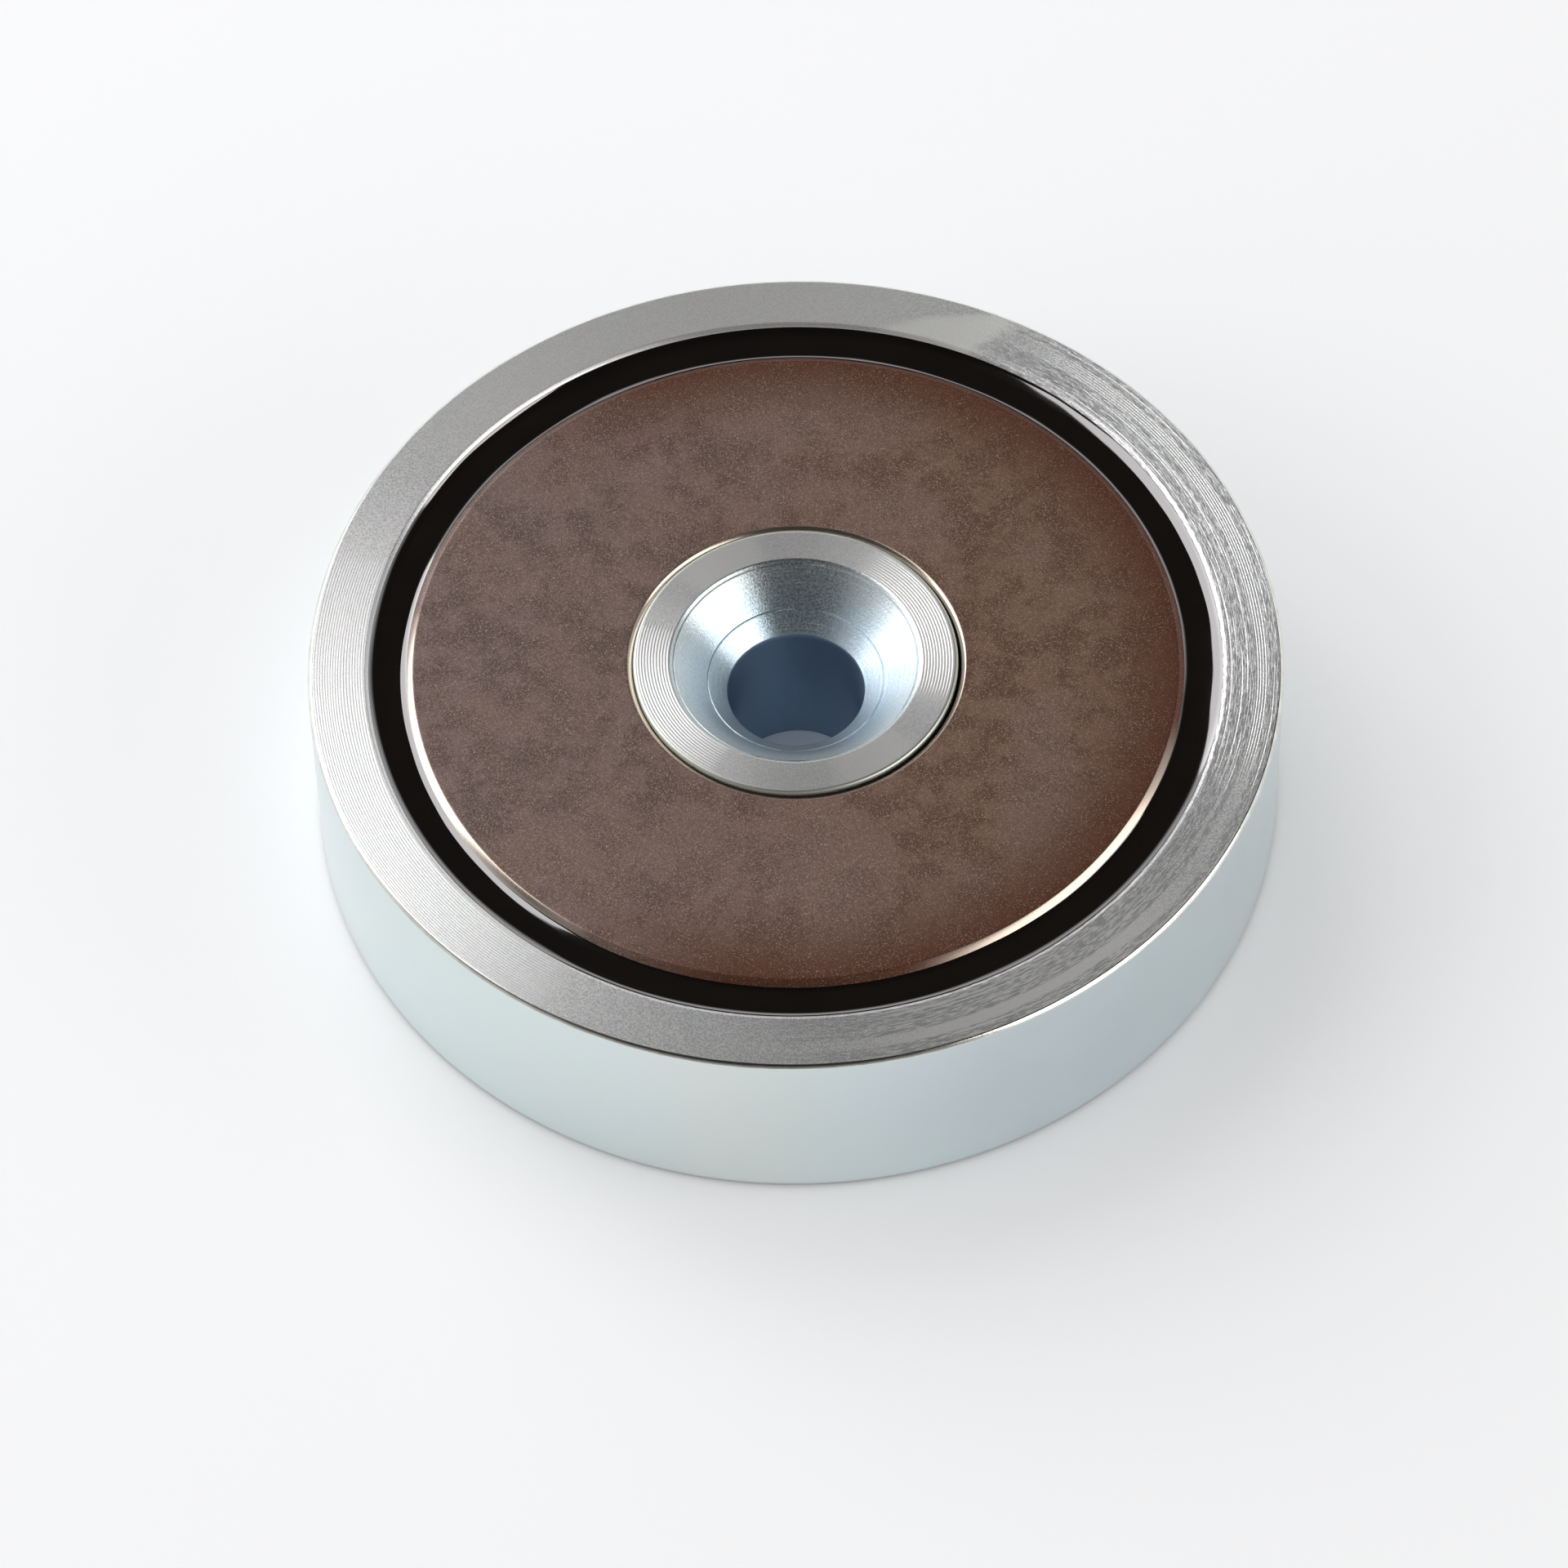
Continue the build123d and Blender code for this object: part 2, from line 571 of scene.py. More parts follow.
def face_marks(tree, place, around, pitch, short_side, depth, left, torn):
    """Turning marks: clear on the left and the right, faint elsewhere, deep where torn."""
    right = facing(tree, place, 19.0, 40.0, 32.0)
    clear = calc(tree, "MULTIPLY_ADD", calc(tree, "MAXIMUM", left, right), 0.8, 0.2)
    torn_depth = calc(tree, "MULTIPLY_ADD", torn, 0.9 * depth, depth)
    return place_group(
        tree,
        turning_marks,
        Along=place["Radius"],
        Around=around,
        Pitch=pitch,
        Short=short_side,
        Depth=product(tree, clear, torn_depth),
        Broken=torn,
        Tear=product(tree, torn, 0.018),
        Grain=calc(tree, "MULTIPLY_ADD", torn, 0.0025, 0.0022),
    )


# %% [markdown]
# ## Colour on the turned faces
# Faced zinc is a light grey with a fine grain, a trace of colour and small bright dots.
# A few places are painted a little brighter, which is painted light where the lamps fall
# on the face. Where the metal is torn or worn there are dull flecks between the clean
# bands. Each is one layer over the last.

# %% Colour of a turned face
GREY_ZINC, WHITE_ZINC = (0.59, 0.59, 0.605, 1.0), (1.0, 1.0, 0.99, 1.0)
# The first colour on the next line is painted light: sectors are made brighter with it.
LIT_ZINC, BRIGHT_DOTS = (0.98, 0.98, 0.97, 1.0), (0.97, 0.97, 0.97, 1.0)
DULL_ZINC = (0.38, 0.38, 0.39, 1.0)


def face_colour(tree, place, grain, left, contrast, lit_spots):
    """Grey zinc with its grain, which is calmer on the left, and with spots of painted light."""
    coarse = calc(tree, "MULTIPLY_ADD", left, -0.65 * contrast, contrast)
    tone = calc(tree, "SUBTRACT", between(tree, grain["Specks"], 0.36, 0.64), 0.5)
    tone = calc(tree, "MULTIPLY_ADD", tone, coarse, 0.5)
    colour = mix_colours(tree, tone, GREY_ZINC, WHITE_ZINC)
    colour = mix_colours(tree, 0.12, colour, grain["Tint"], "OVERLAY")
    # Each spot is painted light: a sector of the face made brighter where the lamps fall.
    for azimuth, first, full, strength in lit_spots:
        spot = product(tree, facing(tree, place, azimuth, first, full), strength)
        colour = mix_colours(tree, spot, colour, LIT_ZINC)
    dots = between(tree, grain["Specks"], 0.66, 0.74)
    return mix_colours(tree, dots, colour, BRIGHT_DOTS)


def add_dull_flecks(tree, marks, hurt, colour):
    """Dull flecks between the clean bands, where the face is hurt."""
    flecks = between(tree, marks["Flecks"], 0.62, 0.40)
    outside = calc(tree, "SUBTRACT", 1.0, marks["Bands"])
    return mix_colours(tree, product(tree, flecks, outside, hurt), colour, DULL_ZINC)


# %% [markdown]
# ## Zinc on the boss and the rim
# Both faces were cut in one pass, so they share a finish and differ only in numbers: the
# radius, the spacing of the marks, how badly one side is torn, and where light is painted
# on them as brighter spots. The rim's colour is not wired up yet, because it gets one more layer.

# %% Boss zinc and rim zinc
TURNED_ROUGHNESS = 0.34


def turned_finish(name, around, pitch, short_side, depth, torn_side, contrast, lit_spots):
    """Zinc on a face at about this radius; torn_side is how badly one side is torn."""
    finish, tree, shader = new_finish(name, TURNED_ROUGHNESS, metallic=0.85)
    place = place_group(tree, lathe_place)
    grain = place_group(tree, plating_grain, Speck=0.075, Cloud=1.6)
    worn = product(tree, facing(tree, place, 310.0, 52.0, 22.0), 0.75 * torn_side)
    torn = product(tree, facing(tree, place, 19.0, 52.0, 30.0), torn_side)
    left = facing(tree, place, 200.0, 41.0, 36.0)
    marks = face_marks(tree, place, around, pitch, short_side, depth, left, torn)
    colour = face_colour(tree, place, grain, left, contrast, lit_spots)
    colour = add_dull_flecks(tree, marks, calc(tree, "MAXIMUM", torn, worn), colour)
    add_bump(tree, shader, marks["Bump"])
    stretch_gloss(tree, shader, 0.7)
    return finish, tree, shader, place, grain, colour


# The spots given in both calls below are painted light.
boss_zinc, tree, shader, _, _, speckled = turned_finish(
    "zinc_turned_boss",
    around=6.0,
    pitch=0.12,
    short_side=0.4,
    depth=0.0074,
    torn_side=0.0,
    contrast=0.5,
    lit_spots=((18.0, 46.0, 28.0, 0.75), (120.0, 22.0, 8.0, 0.85), (301.0, 22.0, 8.0, 0.75)),
)
tree.links.new(speckled, shader.inputs["Base Color"])
say_made(boss_zinc)
rim_zinc, tree, shader, place, grain, speckled = turned_finish(
    "zinc_turned_rim",
    around=19.0,
    pitch=0.11,
    short_side=0.2,
    depth=0.0050,
    torn_side=1.0,
    contrast=1.0,
    lit_spots=((106.0, 44.0, 20.0, 0.6), (299.0, 26.0, 8.0, 0.8)),
)

# %% [markdown]
# ## A rubbed patch
# Something has rubbed the rim at the back and left a paler patch with slanting ends. It
# is made from the angle round the axis, which is safe here because the patch is far from
# where the angle jumps. The clouds move it a little, so its ends are not ruler straight.

# %% A rubbed patch across the rim
WALL_INSIDE = 17.5
PALE_PATCH = (0.93, 0.93, 0.90, 1.0)
split = add_node(tree, "ShaderNodeSeparateXYZ", {0: place["Direction"]}).outputs
azimuth = product(tree, calc(tree, "ARCTAN2", split["Y"], split["X"]), 180.0 / math.pi)
azimuth = calc(tree, "MULTIPLY_ADD", grain["Clouds"], 6.0, azimuth)
across = calc(tree, "SUBTRACT", place["Radius"], WALL_INSIDE)
patch_start = calc(tree, "MULTIPLY_ADD", across, -2.0, 67.5)
patch_end = calc(tree, "MULTIPLY_ADD", across, -6.0, 82.0)
past_start = between(tree, calc(tree, "SUBTRACT", azimuth, patch_start), -0.8, 1.5)
before_end = between(tree, calc(tree, "SUBTRACT", patch_end, azimuth), -0.8, 1.5)
patch = product(tree, past_start, before_end)
with_patch = mix_colours(tree, product(tree, patch, 0.8), speckled, PALE_PATCH)
tree.links.new(with_patch, shader.inputs["Base Color"])
patch_roughness = calc(tree, "MULTIPLY_ADD", patch, 0.05, TURNED_ROUGHNESS)
tree.links.new(patch_roughness, shader.inputs["Roughness"])
say_made(rim_zinc)

# %% [markdown]
# ## Zinc on the edges
# The broken edges carry no marks, so they are smoother than the faces beside them and
# mirror the room in one clear line. The boss's edge is darker and duller than the rim's.

# %% Edge zinc
EDGE_ROUGHNESS = 0.2
EDGE_DARK, EDGE_LIGHT = (0.66, 0.67, 0.62, 1.0), (0.80, 0.80, 0.76, 1.0)
BOSS_EDGE = (0.58, 0.60, 0.55, 1.0)
edge_zinc, tree, shader = new_finish("zinc_edge", EDGE_ROUGHNESS)
place = place_group(tree, lathe_place)
grain = place_group(tree, plating_grain, Speck=0.12, Cloud=1.0)
cloudy = between(tree, grain["Clouds"], 0.35, 0.65)
on_boss = between(tree, place["Radius"], 8.0, 7.0)
edge_colour = mix_colours(tree, cloudy, EDGE_DARK, EDGE_LIGHT)
edge_colour = mix_colours(tree, on_boss, edge_colour, BOSS_EDGE)
edge_roughness = calc(tree, "MULTIPLY_ADD", on_boss, 0.22, EDGE_ROUGHNESS)
tree.links.new(edge_colour, shader.inputs["Base Color"])
tree.links.new(edge_roughness, shader.inputs["Roughness"])
add_bump(tree, shader, product(tree, grain["Specks"], 0.003))
say_made(edge_zinc)

# %% [markdown]
# ## Zinc in the countersink
# The drill left a smooth cone, and the passivation is bluer the deeper it lies. The bore is
# painted dark, which is painted shade in the hole. A ramp over the height gives that. The
# cone's marks are weaker than the rim's and broken all round, and its gloss is stretched in
# the same way.

# %% Countersink zinc by depth
FACE_HEIGHT = 8.8
BORE_TOP = 6.70
SINK_METALLIC = 0.95
sink_zinc, tree, shader = new_finish("zinc_countersink", 0.34, metallic=SINK_METALLIC)
place = place_group(tree, lathe_place)
grain = place_group(tree, plating_grain, Speck=0.09, Cloud=1.2)
marks = place_group(
    tree,
    turning_marks,
    Along=place["Radius"],
    Around=4.0,
    Pitch=0.21,
    Short=0.4,
    Depth=0.004,
    Broken=1.0,
    Tear=0.004,
    Grain=0.006,
)
# The last stop of this ramp is painted shade: the bore is made dark navy.
depth_tint_and_shade = colour_ramp(
    tree,
    between(tree, place["Height"], FACE_HEIGHT, 6.4, smooth=False),
    (0.0, (0.70, 0.755, 0.765, 1.0)),
    ((0.45, (0.62, 0.74, 0.82, 1.0)), (0.85, (0.64, 0.77, 0.87, 1.0))),
    (0.97, (0.30, 0.40, 0.52, 1.0)),
)
add_bump(tree, shader, marks["Bump"])
stretch_gloss(tree, shader, 0.75)

# %% [markdown]
# ## Painted shade on the countersink
# The back of the cone is speckled, and its speckle is painted darker there, which is
# painted shade. Its lower front is painted a dull blue, which is painted shade too.
# Multiplying the depth colour by a speckle keeps the blue of the zinc under it, which a
# plain mix to grey would lose.

# %% The back and the front of the countersink
CALM, SHADED_SPECKS = (0.84, 0.84, 0.85, 1.0), (0.50, 0.49, 0.48, 1.0)
NO_CHANGE = (1.0, 1.0, 1.0, 1.0)
SHADED_BLUE = (0.38, 0.46, 0.51, 1.0)
# Painted shade: the speckle at the back of the cone is darker.
at_back = facing(tree, place, 88.0, 34.0, 10.0)
in_bore = between(tree, place["Height"], 6.9, 6.6)
speckle = calc(tree, "MAXIMUM", between(tree, grain["Specks"], 0.40, 0.60), in_bore)
shade = mix_colours(tree, speckle, mix_colours(tree, at_back, CALM, SHADED_SPECKS), NO_CHANGE)
sink_colour = mix_colours(tree, 1.0, depth_tint_and_shade, shade, "MULTIPLY")
# Painted shade: the lower front of the cone is made a dull blue.
low_front = product(
    tree,
    facing(tree, place, 252.0, 62.0, 25.0),
    0.7,
    between(tree, place["Height"], 8.3, 7.5),
    between(tree, place["Height"], 6.60, BORE_TOP),
)
sink_colour = mix_colours(tree, low_front, sink_colour, SHADED_BLUE)

# %% [markdown]
# ## Rings in the countersink
# Where the drill dwelt it cut fine rings, and they are painted pale and less metallic, which is a
# painted highlight on their edges.
# Each ring is a narrow mask on the radius. The clouds break them up, so they are not
# equally clear all round.

# %% Pale rings, a painted highlight
RING_HIGHLIGHT = (0.86, 0.90, 0.92, 1.0)
# radius, half the width, strength
DRILL_RING_HIGHLIGHTS = (
    (5.0, 0.035, 0.9),
    (4.78, 0.02, 0.35),
    (4.42, 0.02, 0.25),
    (3.61, 0.035, 0.9),
    (3.2, 0.02, 0.4),
    (3.02, 0.02, 0.4),
)
ring_highlights = 0.0
for radius, half_width, strength in DRILL_RING_HIGHLIGHTS:
    away = calc(tree, "ABSOLUTE", calc(tree, "SUBTRACT", place["Radius"], radius))
    ring_highlights = calc(tree, "MULTIPLY_ADD", between(tree, away, half_width, 0.0), strength, ring_highlights)
on_cone = between(tree, place["Height"], 6.66, 6.72)
ring_highlights = calc(tree, "MULTIPLY", ring_highlights, on_cone, clamp=True)
ring_highlights = product(tree, ring_highlights, between(tree, grain["Clouds"], 0.38, 0.58))
# Painted highlight: the rings are made pale and less metallic.
sink_colour = mix_colours(tree, ring_highlights, sink_colour, RING_HIGHLIGHT)
ring_metallic = calc(tree, "MULTIPLY_ADD", ring_highlights, -0.45, SINK_METALLIC)
tree.links.new(sink_colour, shader.inputs["Base Color"])
tree.links.new(ring_metallic, shader.inputs["Metallic"])
say_made(sink_zinc)

# %% [markdown]
# ## Nickel on the magnet
# The ring is pressed and ground, then tumbled and nickel plated. The plating is satin
# and brown in the open light of a studio, with slow cloudy patches. Its left side is painted
# greyer, which is a painted sheen from the light on the left. Away from the left it is
# painted warmer and darker towards the outer edge, which is painted shade with a reddish
# painted reflection. Two sizes of cloud are mixed, because one size alone looks like smoke.

# %% The magnet's body colour
NICKEL_ROUGHNESS, NICKEL_METALLIC = 0.36, 0.5
RIGHT_DARK, RIGHT_LIGHT = (0.136, 0.068, 0.043, 1.0), (0.204, 0.116, 0.079, 1.0)
LEFT_SHEEN_DARK, LEFT_SHEEN_LIGHT = (0.132, 0.088, 0.076, 1.0), (0.196, 0.134, 0.120, 1.0)
VEIL, WARM_EDGE_SHADE = (0.206, 0.136, 0.110, 1.0), (0.094, 0.026, 0.010, 1.0)
nickel, tree, shader = new_finish("satin_nickel", NICKEL_ROUGHNESS, metallic=NICKEL_METALLIC)
place = place_group(tree, lathe_place)
grain = place_group(tree, plating_grain, Speck=0.062, Cloud=1.3)
veils = place_group(tree, plating_grain, Speck=0.16, Cloud=5.5)
sideways = add_node(tree, "ShaderNodeSeparateXYZ", {0: place["Direction"]}).outputs["X"]
to_left = between(tree, product(tree, sideways, place["Radius"]), 11.0, -13.0)
patches = between(tree, grain["Clouds"], 0.40, 0.60)
right_body = mix_colours(tree, patches, RIGHT_DARK, RIGHT_LIGHT)
# Painted sheen: the left side's colours are greyer.
left_sheen_body = mix_colours(tree, patches, LEFT_SHEEN_DARK, LEFT_SHEEN_LIGHT)
body = mix_colours(tree, to_left, right_body, left_sheen_body)
veil = product(tree, between(tree, veils["Clouds"], 0.43, 0.62), 0.65)
body = mix_colours(tree, veil, body, VEIL)
# Painted shade with a reddish painted reflection: warmer and darker towards the outer edge, away
# from the left.
not_left = calc(tree, "SUBTRACT", 1.0, facing(tree, place, 185.0, 78.0, 40.0))
warm_edge_shade = product(tree, between(tree, place["Radius"], 11.6, 16.4), not_left)
body = mix_colours(tree, warm_edge_shade, body, WARM_EDGE_SHADE)

# %% [markdown]
# ## Grain of the nickel
# Satin plating shows fine pale and dark grains, a little weaker in the light patches
# and on the warm edge, which is painted shade. They are colour and hardly any height,
# because a stronger bump makes the metal look like leather.

# %% The magnet's grain
PALE_GRAIN, DARK_GRAIN = (0.52, 0.41, 0.35, 1.0), (0.075, 0.044, 0.033, 1.0)
rough_grain = calc(tree, "MULTIPLY_ADD", patches, -0.25, 0.8)
rough_grain = calc(tree, "MULTIPLY_ADD", warm_edge_shade, -0.3, rough_grain)
light_grains = product(tree, between(tree, grain["Specks"], 0.53, 0.68), rough_grain)
dark_grains = product(tree, between(tree, grain["Specks"], 0.49, 0.36), rough_grain)
speckled = mix_colours(tree, light_grains, body, PALE_GRAIN)
speckled = mix_colours(tree, dark_grains, speckled, DARK_GRAIN)
add_bump(tree, shader, product(tree, grain["Specks"], 0.0006))

# %% [markdown]
# ## Rubbed bevels and painted highlights
# The bevel round the bore is rubbed bright all round. On the outer edge the bevel is
# painted bright only on the left and at the right front, which is a painted highlight where
# the lamps catch it. Height finds the bevels, because they start just below the face.

# %% The magnet's rubbed bevels and painted highlights
RUBBED_AND_LIT_NICKEL = (0.62, 0.53, 0.45, 1.0)
below_face = between(tree, place["Height"], 8.697, 8.68)
on_bore = between(tree, place["Radius"], 8.0, 7.0)
# On the outer bevel these two sides are a painted highlight: brighter, smoother and more
# metallic.
on_left = facing(tree, place, 203.0, 36.0, 22.0)
on_right = product(tree, facing(tree, place, 317.0, 32.0, 12.0), 0.8)
where = calc(tree, "MAXIMUM", on_bore, calc(tree, "MAXIMUM", on_left, on_right))
rubbed_or_lit = product(tree, below_face, where)
nickel_colour = mix_colours(tree, rubbed_or_lit, speckled, RUBBED_AND_LIT_NICKEL)
nickel_roughness = calc(tree, "MULTIPLY_ADD", rubbed_or_lit, -0.16, NICKEL_ROUGHNESS)
nickel_metallic = calc(tree, "MULTIPLY_ADD", rubbed_or_lit, 0.45, NICKEL_METALLIC)
tree.links.new(nickel_colour, shader.inputs["Base Color"])
tree.links.new(nickel_roughness, shader.inputs["Roughness"])
tree.links.new(nickel_metallic, shader.inputs["Metallic"])
say_made(nickel)

# %% [markdown]
# ## Black potting resin
# Cast resin is glossy and nearly black, and a little browner where it is thin. Its own
# colour hardly shows: what the eye reads is the room mirrored in its skin.

# %% Potting resin
RESIN_BLACK, RESIN_BROWN = (0.0008, 0.0007, 0.0006, 1.0), (0.0018, 0.0012, 0.0009, 1.0)
resin, tree, shader = new_finish("black_resin", 0.08, metallic=0.0)
grain = place_group(tree, plating_grain, Speck=0.2, Cloud=2.5)
thin = between(tree, grain["Clouds"], 0.35, 0.65)
resin_colour = mix_colours(tree, thin, RESIN_BLACK, RESIN_BROWN)
tree.links.new(resin_colour, shader.inputs["Base Color"])
shader.inputs["IOR"].default_value = 2.0
shader.inputs["Specular IOR Level"].default_value = 0.9
shader.inputs["Specular Tint"].default_value = (1.0, 0.97, 0.98, 1.0)
say_made(resin)

# %% [markdown]
# ## The steel pot's outline
# The cup, the boss and the countersunk hole are one piece of steel, faced in one cut, so
# one closed outline holds them all: up the outside, over the rim, down into the groove,
# over the boss and down the hole. Two thin grooves in the countersink are where the
# drill dwelt. Corners beside a rounded edge keep the flat faces flat in the shading.

# %% The steel pot's outline
POT_RADIUS = 20.0
FLOOR_TOP = 3.3
RIM_EDGE = (17.65, FACE_HEIGHT)
GROOVE_EDGE = (WALL_INSIDE, 8.70)
BOSS_RADIUS = 6.68
SINK_EDGE = (5.16, FACE_HEIGHT)
BORE_EDGE = (2.83, BORE_TOP)
BORE_FOOT = (2.73, 0.0)
wall_outline = [
    (2.80, 0.4),
    BORE_FOOT,
    (19.5, 0.0),
    (POT_RADIUS, 0.0),
    (POT_RADIUS, 0.5),
    (POT_RADIUS, 8.6),
    (POT_RADIUS, FACE_HEIGHT),
    (19.8, FACE_HEIGHT),
    (17.72, FACE_HEIGHT),
    RIM_EDGE,
    GROOVE_EDGE,
    (WALL_INSIDE, FLOOR_TOP),
]
boss_outline = [
    (BOSS_RADIUS, FLOOR_TOP),
    (BOSS_RADIUS, FACE_HEIGHT),
    (6.50, FACE_HEIGHT),
    (5.23, FACE_HEIGHT),
    SINK_EDGE,
    (5.045, 8.696),
    (5.035, 8.62),
    (4.975, 8.655),
    (3.655, 7.443),
    (3.645, 7.37),
    (3.585, 7.405),
    BORE_EDGE,
]
pot = spin_outline(wall_outline + boss_outline)
print("the pot has", len(pot.verts), "points")

# %% [markdown]
# ## The steel pot's edges
# The top edge was broken with a tool held at 45 degrees and mirrors the light in a hard
# line. The bottom edge is rounded more, and the small edges of the groove, the boss and
# the hole are only just taken off.

# %% The steel pot's edges
print("broke", break_corner(pot, POT_RADIUS, FACE_HEIGHT, 0.13), "edges at the top")
print("rounded", round_corner(pot, POT_RADIUS, 0.0, 0.36, 8), "edges at the bottom")
for (radius, height), size in (
    ((BOSS_RADIUS, FACE_HEIGHT), 0.15),
    (RIM_EDGE, 0.04),
    (GROOVE_EDGE, 0.03),
    (SINK_EDGE, 0.05),
    (BORE_EDGE, 0.04),
    (BORE_FOOT, 0.05),
):
    print("rounded", round_corner(pot, radius, height, size), "edges at radius", radius)

# %% [markdown]
# ## The steel pot's finishes
# Wall, faces, hole and edges were each cut in their own way and have their own finish.
# Faces could be picked by hand, but their radius, height and slope tell which they are,
# and stay right when the outline changes a little.

# %% The steel pot's finishes
finishes = [wall_zinc, rim_zinc, boss_zinc, sink_zinc, edge_zinc]
WALL, RIM, BOSS, SINK, EDGE = range(len(finishes))


def finish_of(face):
    """Which finish a face of the pot has."""
    middle = face.calc_center_median()
    r, z = radius_of(middle), middle.z / MM
    sloping = 0.02 < face.normal.z < 0.999
    on_edge = r > 19.0 or 6.4 < r < 7.0
    if sloping and z > 8.6 and on_edge:
        return EDGE
    if r < 5.2:
        return SINK
    if z > 8.66:
        return RIM if r > 10.0 else BOSS
    return WALL


bmesh.ops.recalc_face_normals(pot, faces=pot.faces[:])
for face in pot.faces:
    face.material_index = finish_of(face)
for number, finish in enumerate(finishes):
    print(finish.name, "on", sum(f.material_index == number for f in pot.faces), "faces")
finish_piece(pot, "turned_pot", "steel_pot", finishes)

# %% [markdown]
# ## The ring magnet
# A pressed and ground ring with its edges broken by a flat bevel, whose corners are
# softened by the plating. It was glued in by hand, so its bore is a hair off centre: the
# gap round the boss is thin on the left and wider on the right.

# %% The ring magnet
MAGNET_FACE = 8.7
magnet_outline = [
    (6.75, 3.6),
    (6.95, 3.4),
    (15.70, 3.4),
    (16.0, 3.70),
    (16.0, 8.48),
    (15.70, MAGNET_FACE),
    (15.62, MAGNET_FACE),
    (7.03, MAGNET_FACE),
    (6.95, MAGNET_FACE),
    (6.75, 8.54),
]
magnet = spin_outline(magnet_outline)
for radius, height in ((16.0, 8.48), (15.70, MAGNET_FACE), (6.95, MAGNET_FACE), (6.75, 8.54)):
    print("softened", round_corner(magnet, radius, height, 0.04, 3), "edges at radius", radius)
bore_side = [vert for vert in magnet.verts if radius_of(vert.co) < 7.0]
off_centre = 0.05 * MM
bmesh.ops.translate(magnet, verts=bore_side, vec=(off_centre, 0.0, 0.0))
print("moved", len(bore_side), "points of the bore by", off_centre, "m")
finish_piece(magnet, "nickel_ring", "ring_magnet", [nickel])

# %% [markdown]
# ## How the resin creeps
# Poured resin creeps up whatever it touches: it is level in the middle and curls up at
# the cup's wall and at the magnet's broken edge. Each curl is an arc, made as a spin of
# one point round the arc's own centre. A single arc from side to side would be simpler,
# but the bright reflections along both edges would be too wide.

# %% One curl of resin
CREEP_ANGLE = math.radians(39.0)
CREEP_STEPS = 12


def creep(form, start, centre):
    """Carry a line on from its last point along an arc, in the plane of the outline."""
    made = bmesh.ops.spin(
        form,
        geom=[start],
        cent=(centre[0] * MM, 0.0, centre[1] * MM),
        axis=(0.0, 1.0, 0.0),
        angle=CREEP_ANGLE,
        steps=CREEP_STEPS,
    )
    return made["geom_last"][0]


# %% [markdown]
# ## The hollow between the curls
# The line starts where the resin touches the wall, comes down one curl, crosses the
# level part and goes up the other curl to the magnet. The two curls have their own
# radius, because the gap is not filled evenly.

# %% The hollow between the curls
wall_touch, wall_curl = (WALL_INSIDE, 8.65), 0.71
magnet_touch, magnet_curl = (15.93, 8.53), 0.47
wall_reach = wall_curl * math.sin(CREEP_ANGLE)
magnet_reach = magnet_curl * math.sin(CREEP_ANGLE)
pour = bmesh.new()
first = pour.verts.new((wall_touch[0] * MM, 0.0, wall_touch[1] * MM))
centre = (wall_touch[0] - wall_reach, wall_touch[1] + wall_curl * math.cos(CREEP_ANGLE))
foot = creep(pour, first, centre)
print("the level part starts at", short(foot.co / MM, 3))
centre = (magnet_touch[0] + magnet_reach, magnet_touch[1] + magnet_curl * math.cos(CREEP_ANGLE))
next_foot = pour.verts.new((centre[0] * MM, 0.0, (centre[1] - magnet_curl) * MM))
pour.edges.new((foot, next_foot))
last = creep(pour, next_foot, centre)
print("the hollow ends at", short(last.co / MM, 3))

# %% [markdown]
# ## Closing and spinning the resin
# The rest of the resin fills the groove beside the magnet and the thin gap under it.
# Nobody sees it, but the outline has to close, so that the piece is solid.

# %% Close and spin the resin
UNDER_MAGNET = ((15.9, 3.4), (7.05, 3.4), (7.05, FLOOR_TOP), (WALL_INSIDE, FLOOR_TOP))
below = [pour.verts.new((r * MM, 0.0, z * MM)) for r, z in UNDER_MAGNET]
chain = [last] + below + [first]
for start, end in zip(chain, chain[1:]):
    pour.edges.new((start, end))
spin_round(pour, pour.verts[:] + pour.edges[:])
print("the resin has", len(pour.verts), "points")

# %% [markdown]
# ## An uneven edge
# Resin is poured by hand and never creeps to the same height all round. Moving the
# points of the curls up and down by a slow and a fast noise gives that. The points where
# the resin touches the steel and the magnet stay where they are, so no gap opens.

# %% An uneven edge
CURL_BOTTOM = 8.3
SLOW_WAVES, FAST_WAVES = 3.5, 11.0


def ripple(form, touch, reach, slow, fast):
    """Make the curl beside one contact line uneven, and leave both of its edges alone."""
    moved = 0
    for vert in form.verts:
        r, z = radius_of(vert.co), vert.co.z / MM
        share = abs(r - touch) / reach
        if share < 0.98 and z > CURL_BOTTOM:
            around = Vector((vert.co.x, vert.co.y, 0.0)).normalized()
            uneven = slow * noise.noise(around * SLOW_WAVES)
            uneven += fast * noise.noise(around * FAST_WAVES)
            vert.co.z += uneven * 4.0 * share * (1.0 - share) * MM
            moved += 1
    return moved


print("rippled", ripple(pour, wall_touch[0], wall_reach, 0.03, 0.005), "points by the wall")
print("rippled", ripple(pour, magnet_touch[0], magnet_reach, 0.02, 0.004), "by the magnet")
finish_piece(pour, "poured_resin", "potting_resin", [resin])

# %% [markdown]
# ## The table
# A round white table with matt paint. It ends inside the ring of soft boxes, so that no
# view shows the unlit floor behind them. It lies a hundredth of a millimetre below the
# pot, because two faces in one place flicker.

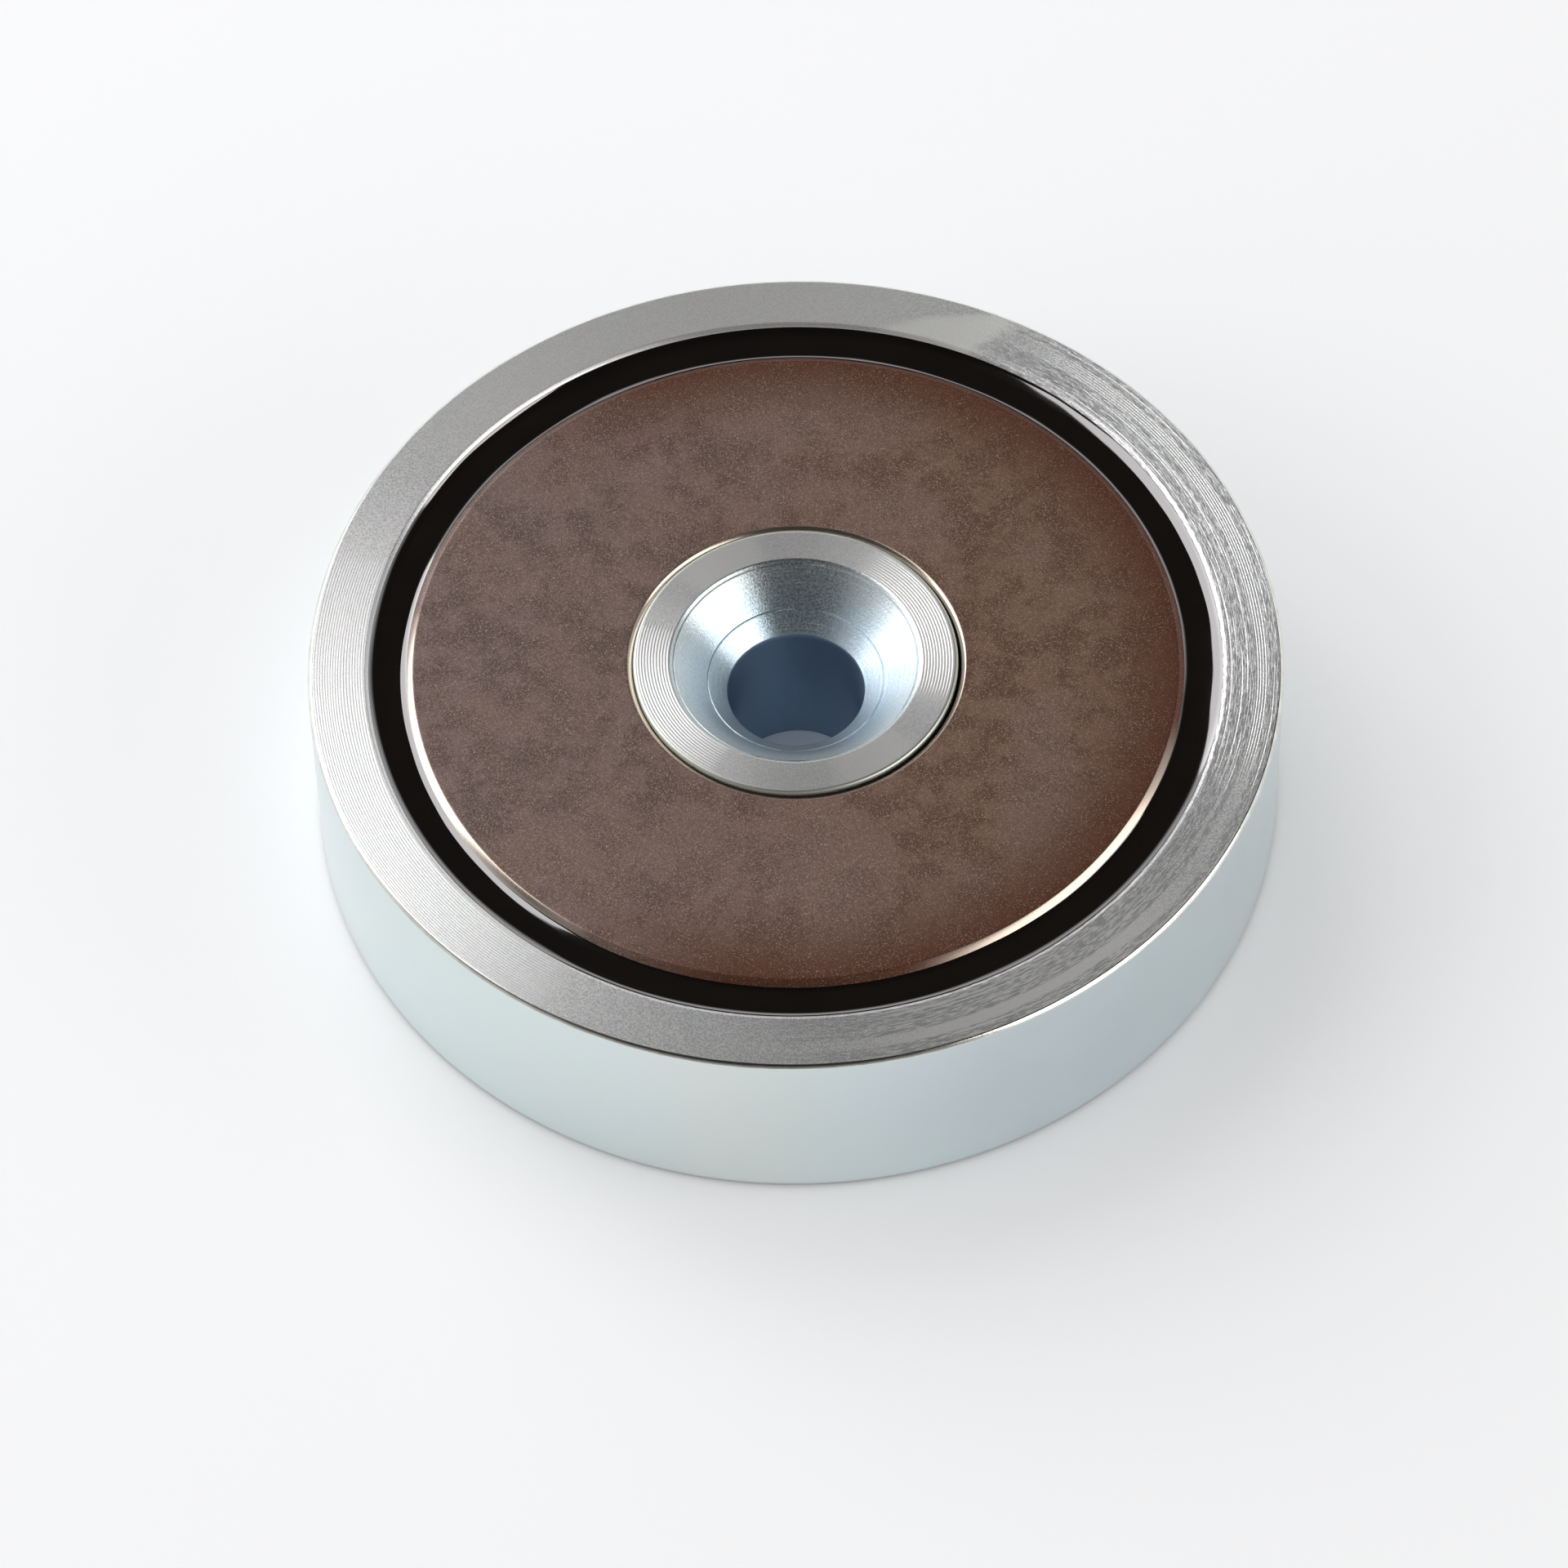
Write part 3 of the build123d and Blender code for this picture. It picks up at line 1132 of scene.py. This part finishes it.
# %% The table
TABLE_WHITE = (0.90, 0.902, 0.914, 1.0)
table_radius = 0.46
table = bmesh.new()
bmesh.ops.create_circle(table, cap_ends=True, segments=96, radius=table_radius)
bmesh.ops.translate(table, verts=table.verts[:], vec=(0.0, 0.0, -0.01 * MM))
table_mesh = bpy.data.meshes.new("table")
table.to_mesh(table_mesh)
table.free()
table_top = bpy.data.objects.new("table", table_mesh)
bpy.context.scene.collection.objects.link(table_top)
table_paint, tree, shader = new_finish("white_table", 0.6, metallic=0.0)
shader.inputs["Base Color"].default_value = TABLE_WHITE
shader.inputs["Specular IOR Level"].default_value = 0.2
table_mesh.materials.append(table_paint)
print("the table is", 2.0 * table_radius, "m across")

# %% [markdown]
# ## A soft box
# A soft box is a lamp behind a sheet of cloth: a flat area light. Metal is lit by what
# it mirrors, and paint by how much light falls on it, so each box is either a lamp for
# matt surfaces or a card that only shiny ones see. That lets the two be set apart.

# %% A soft box
def soft_box(name, middle, width, height, level, colour, aim, mirrored=False):
    """A flat area light; level is its brightness, where a white sheet in full light is 1."""
    light = bpy.data.lights.new(name, "AREA")
    light.shape = "RECTANGLE"
    light.size = width
    light.size_y = height
    light.energy = level * math.pi * width * height
    light.color = colour
    box = bpy.data.objects.new(name, light)
    bpy.context.scene.collection.objects.link(box)
    box.location = middle
    box.rotation_euler = Vector(aim).to_track_quat("-Z", "Y").to_euler()
    box.visible_camera = False
    box.visible_glossy = mirrored
    box.visible_diffuse = not mirrored
    print(name, "at", short(middle, 3), "level", level)


def seen_at(azimuth, elevation, distance=0.6):
    """A place round the pot, by its direction in degrees and its distance."""
    turn, lift = math.radians(azimuth), math.radians(elevation)
    level = math.cos(lift) * distance
    return Vector((level * math.cos(turn), level * math.sin(turn), math.sin(lift) * distance))


# %% [markdown]
# ## The lamps and the cards
# A big soft box stands on the left, a smaller one on the right in front, and one at the
# back. Two bright cards, on the left and on the right, are what the turned faces mirror.

# %% The lamps and the cards
WHITE = (1.0, 1.0, 1.0)
WARM = (1.0, 0.98, 0.95)
TO_RIGHT, TO_LEFT = Vector((1, 0, 0)), Vector((-1, 0, 0))
back_middle = Vector((-0.225, 0.39, 0.41))
left_card, right_card = seen_at(149.0, 39.6), seen_at(-21.5, 33.0)
soft_box("left_box", Vector((-0.5, 0.15, 0.282)), 0.90, 0.535, 1.12, WHITE, TO_RIGHT)
soft_box("right_box", Vector((0.5, -0.35, 0.26)), 0.85, 0.49, 1.02, WARM, TO_LEFT)
soft_box("back_box", back_middle, 0.42, 0.62, 1.57, WHITE, -back_middle)
soft_box("left_card", left_card, 0.564, 0.649, 2.6, WHITE, -left_card, mirrored=True)
soft_box("right_card", right_card, 0.562, 0.34, 2.85, WARM, -right_card, mirrored=True)

# %% [markdown]
# ## The room
# Round the table is a room that is pale near the horizon, dark overhead and lighter at
# the back. Shiny metal mirrors it. A ramp over the height of the direction is enough,
# because nothing on the part is polished well enough to show a picture.

# %% The room that metal mirrors
DARK_CEILING = (0.022, 0.019, 0.016, 1.0)
room = bpy.data.worlds.new("room")
room.use_nodes = True
bpy.context.scene.world = room
sky = room.node_tree
background = next(n for n in sky.nodes if n.type == "BACKGROUND")
direction = add_node(sky, "ShaderNodeTexCoord").outputs["Generated"]
towards = add_node(sky, "ShaderNodeSeparateXYZ", {0: direction}).outputs
by_height = colour_ramp(
    sky,
    towards["Z"],
    (0.0, (0.74, 0.76, 0.78, 1.0)),
    ((0.17, (0.82, 0.83, 0.84, 1.0)), (0.34, (0.82, 0.82, 0.82, 1.0)), (0.60, DARK_CEILING)),
    (0.80, DARK_CEILING),
)
from_back = calc(sky, "MULTIPLY_ADD", towards["Y"], 0.5, 1.0)
walls = vector_calc(sky, "SCALE", {0: by_height, "Scale": from_back})["Vector"]

# %% [markdown]
# ## The room that paint sees
# Matt surfaces gather light from all sides, so they get a smooth grey fill instead,
# lightest from the left. A light path knows whether a ray has left a matt surface, and
# chooses between the two.

# %% The fill for matt surfaces
EVEN_FILL = 0.30
SIDE_FILLS = (("X", -0.82), ("X", 0.45), ("Y", -0.275))
fill = EVEN_FILL
for part, share in SIDE_FILLS:
    side = calc(sky, "MAXIMUM", calc(sky, "MULTIPLY", towards[part], share), 0.0)
    fill = calc(sky, "ADD", side, fill)
rays = add_node(sky, "ShaderNodeLightPath").outputs
after_matt = calc(sky, "MINIMUM", rays["Diffuse Depth"], 1.0)
air = mix_colours(sky, after_matt, walls, fill)
sky.links.new(air, background.inputs["Color"])
print(room.name, "has", len(sky.nodes), "nodes")
